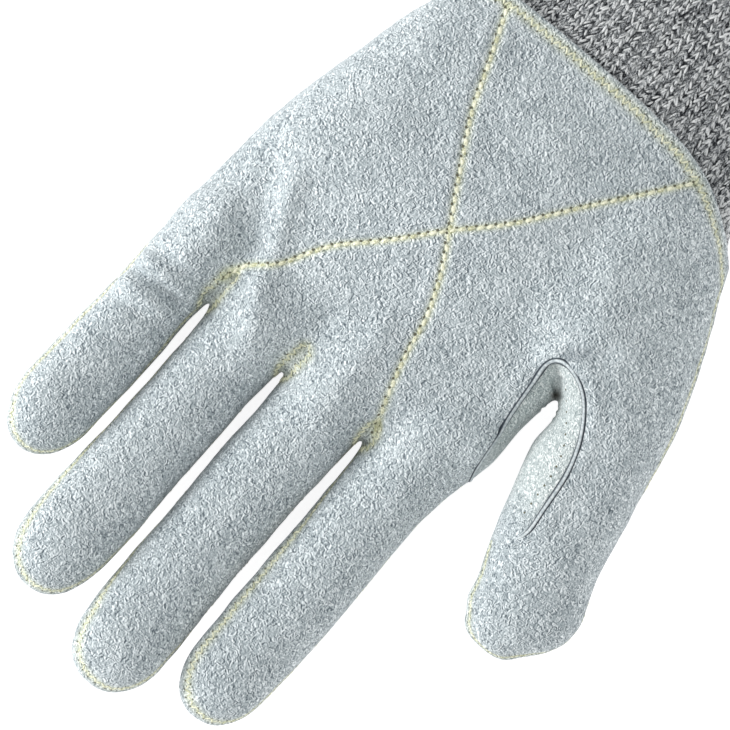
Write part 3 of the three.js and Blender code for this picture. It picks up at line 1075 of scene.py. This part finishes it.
cuff_places = np.arange(CUFF[0, Y], CUFF[-1, Y] + 0.1, CUFF_RING_STEP)
ribs = round(girdle(CUFF[-1], 0, 8)[2] / RIB_PITCH)
cuff_shape = bmesh.new()
bmesh.ops.create_cone(cuff_shape, cap_ends=False, segments=ribs * RIB_POINTS, radius1=1, radius2=1, depth=1)
long_edges = [edge for edge in cuff_shape.edges if abs(edge.verts[0].co.z - edge.verts[1].co.z) > 0.5]
bmesh.ops.subdivide_edges(cuff_shape, edges=long_edges, cuts=len(cuff_places) - 2)
cuff_rings = []
for row in along(CUFF, cuff_places):
    ring, normals, _ = girdle(row, CUFF_INSET, ribs * RIB_POINTS)
    rise = 0.5 - 0.5 * np.cos(2 * math.pi * (np.arange(len(ring)) + 0.5) / RIB_POINTS)
    cuff_rings.append(ring - normals * RIB_DEPTH * (1 - rise)[:, None])
for vertex in cuff_shape.verts:
    ring = round((vertex.co.z + 0.5) * (len(cuff_places) - 1))
    turn = math.atan2(vertex.co.y, vertex.co.x) / (2 * math.pi) * ribs * RIB_POINTS
    vertex.co = cuff_rings[ring][math.floor(turn + 0.25) % (ribs * RIB_POINTS)]
bmesh.ops.reverse_faces(cuff_shape, faces=cuff_shape.faces)
rib_mesh = bpy.data.meshes.new("rib_tube")
cuff_shape.to_mesh(rib_mesh)
cuff_shape.free()
marked(rib_mesh, "fleck", np.random.default_rng(5).random(len(rib_mesh.vertices)))
# The rib tube under the cuff's stitches takes the same painted shade.
cuff = piece("rib_tube", in_metres(rib_mesh), shaded_ground_yarn, slot="cuff_knit")
walled(cuff, CUFF_WALL)
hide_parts("rib_cuff")

CUFF_COURSE = 2.0
PLY_SPREADS = (0.32, 0.95)
PLY_LEG = (2.2, 0.6, 0.8)
PLY_LIFT = 0.1
PLY_STRAY = (0.34, 0.05, 0.05, 0.2)
cuff_courses = along(CUFF, np.arange(CUFF[0, Y] + 1, CUFF[-1, Y], CUFF_COURSE))
rings = [girdle(row, CUFF_INSET, ribs)[:2] for row in cuff_courses]
middles = np.array([ring for ring, _ in rings])
outward = np.array([normals for _, normals in rings])
columns = np.gradient(middles, axis=0)
ply_places = [grid.reshape(-1, 3) for grid in (middles + outward * PLY_LIFT, outward, columns)]
cuff_plies = np.concatenate([vees(*ply_places, spread, *PLY_LEG) for spread in PLY_SPREADS])
cuff_plies[:, :3, :] += np.random.default_rng(6).normal(0, 1, (len(cuff_plies), 3, 4)) * PLY_STRAY
ply_mesh = in_metres(copies("cuff_stitches", yarn_leg, cuff_plies, FLOOR_GAP))
piece("cuff_stitches", ply_mesh, cuff_yarn, slot="cuff_knit")

OVERCAST_STEP = 1.4
OVERCAST_INSETS = (0.6, 2.3)
OVERCAST_SLANT = 2
OVERCAST_STITCH = (1.2, 0.9)
end_count = round(girdle(CUFF[0], 1, 8)[2] / OVERCAST_STEP)
end_outside, end_inside = (girdle(CUFF[0], inset, end_count)[0] for inset in OVERCAST_INSETS)
end_inside = np.roll(end_inside, OVERCAST_SLANT, axis=0)
end_facing = np.tile((0.0, -1.0, 0.0), (end_count, 1))
end_frames = frames_between(end_outside, end_inside, end_facing, *OVERCAST_STITCH)
end_mesh = in_metres(copies("cuff_overcast", bead(6, 5), end_frames, FLOOR_GAP))
piece("cuff_overcast", end_mesh, cuff_yarn, slot="cuff_knit")

# The sewing: pale yellow thread that joins the leather to the knit. Two lines of lockstitch cross in the
# palm, with a needle hole beside each end of a stitch. A zigzag follows the leather's cut edge all round,
# by the wrist and the tips of the stalls, and stops at the notch.
THREAD = 1.1
STITCH = 2.4
STITCH_GAP = 0.12
STITCH_SKEW = 0.26
STITCH_LIFT = 0.05
HOLE_AWAY = 0.62
LINE_HOLE = 0.85
HOLE_HEIGHT = 0.16


def thread(name, dark, light):
    """Spun aramid thread, each stitch with its own tone between two colours."""
    finish = Finish(name)
    twist = finish.grain(0.0005, 2, 0.6)
    tone = twist + (finish.attribute("fleck") - 0.5) * 0.2
    colour = finish.ramp(tone, (0.35, dark), (0.6, light))
    return finish.done(Base_Color=colour, Roughness=0.7, Normal=finish.bump(twist, 0.0001))


line_thread = thread("line_thread", rgb(172, 174, 136), rgb(243, 243, 218))
edge_thread = thread("edge_thread", rgb(186, 190, 158), rgb(238, 238, 212))
# Needle holes are dark discs nearly flush with the leather: painted shade for the inside of each hole.
hole_finish = Finish("needle_hole").done(Base_Color=rgb(100, 100, 84), Roughness=1.0)


def dropped(line, tree):
    """A line seen from the palm, laid on a skin, with the skin's normals."""
    found = [tree.ray_cast(Vector((x, y, 90)), Vector((0, 0, -1))) for x, y in line]
    found = [hit for hit in found if hit[0] is not None]
    return np.array([hit[0] for hit in found]), np.array([hit[1] for hit in found])


def sewn(name, stitches, finish, holes):
    """The stitches of one seam and its needle holes, as two pieces."""
    stitch_mesh = in_metres(copies(name, bead(6, 6, 0.5), stitches))
    piece(name, stitch_mesh, finish, slot="sewing_thread")
    hole_mesh = in_metres(copies(name + "_holes", bead(5, 3), holes))
    piece(name + "_holes", hole_mesh, hole_finish, slot="sewing_thread")


def hole_frames(points, normals, width):
    """Frames for round needle holes, nearly flush with the leather, whose dark colour is painted shade."""
    radius = unit(np.cross(normals, (0.3, 0.5, 0.1))) * width / 2
    return frames_between(points - radius, points + radius, normals, width, HOLE_HEIGHT)


for name, line in PALM_LINES.items():
    places, normals = dropped(even(curve(line, 1.0), STITCH), leather_tree)
    run = unit(np.diff(places, axis=0))
    middle_normals = unit(normals[1:] + normals[:-1])
    skew = np.cross(middle_normals, run) * STITCH_SKEW
    starts = places[:-1] + run * STITCH_GAP - skew
    ends = places[1:] - run * STITCH_GAP + skew
    frames = frames_between(starts, ends, middle_normals, THREAD, THREAD * 0.7, -STITCH_LIFT)
    beside = unit(np.cross(normals, np.gradient(places, axis=0))) * -HOLE_AWAY
    sewn(name, frames, line_thread, hole_frames(*landed(places + beside, leather_tree), LINE_HOLE))

ZIGZAG_STEP = 1.15
ZIGZAG_WIDTH = 1.0
ZIGZAG_THREAD = (0.52, 0.45)
ZIGZAG_STRAY = 0.16
ZIGZAG_BURIED = 0.5
ZIGZAG_HOLE = 0.55
ZIGZAG_FROM_NOTCH = 1.6
stray = np.random.default_rng(8)
seam, seam_normals = landed(even(seam_loop, ZIGZAG_STEP, closed=True), leather_tree)
across = unit(np.cross(seam_normals, np.gradient(seam, axis=0)))
sides = np.where(np.arange(len(seam)) % 2, 1, -1)[:, None] * ZIGZAG_WIDTH
corners = seam + across * sides + stray.normal(0, ZIGZAG_STRAY, seam.shape)
corners = landed(corners, leather_tree)[0]
sewn_here = out_of_notch(seam) > ZIGZAG_FROM_NOTCH
shown = sewn_here[1:] & sewn_here[:-1]
starts, ends, facing = corners[:-1][shown], corners[1:][shown], seam_normals[1:][shown]
frames = frames_between(starts, ends, facing, *ZIGZAG_THREAD, -STITCH_LIFT)
frames[:, :3, 3] -= frames[:, :3, 2] * stray.uniform(0, ZIGZAG_BURIED, (len(frames), 1))
holes = hole_frames(corners[sewn_here], seam_normals[sewn_here], ZIGZAG_HOLE)
sewn("edge_zigzag", frames, edge_thread, holes)

# The gusset's own seam, of which only a row of needle holes shows, dark with painted shade.
GUSSET_HOLE = 0.6
GUSSET_HOLE_STEP = 2.9
GUSSET_LINE = (
    (-60.2, 40), (-59.6, 34), (-58.9, 28), (-57.2, 22.5), (-53.6, 17), (-50.4, 13.2), (-47.6, 10.4),
)
places, normals = dropped(even(curve(GUSSET_LINE, 1.0), GUSSET_HOLE_STEP), gusset_tree)
gusset_holes = in_metres(copies("gusset_holes", bead(6, 4), hole_frames(places, normals, GUSSET_HOLE)))
piece("gusset_holes", gusset_holes, hole_finish, slot="sewing_thread")
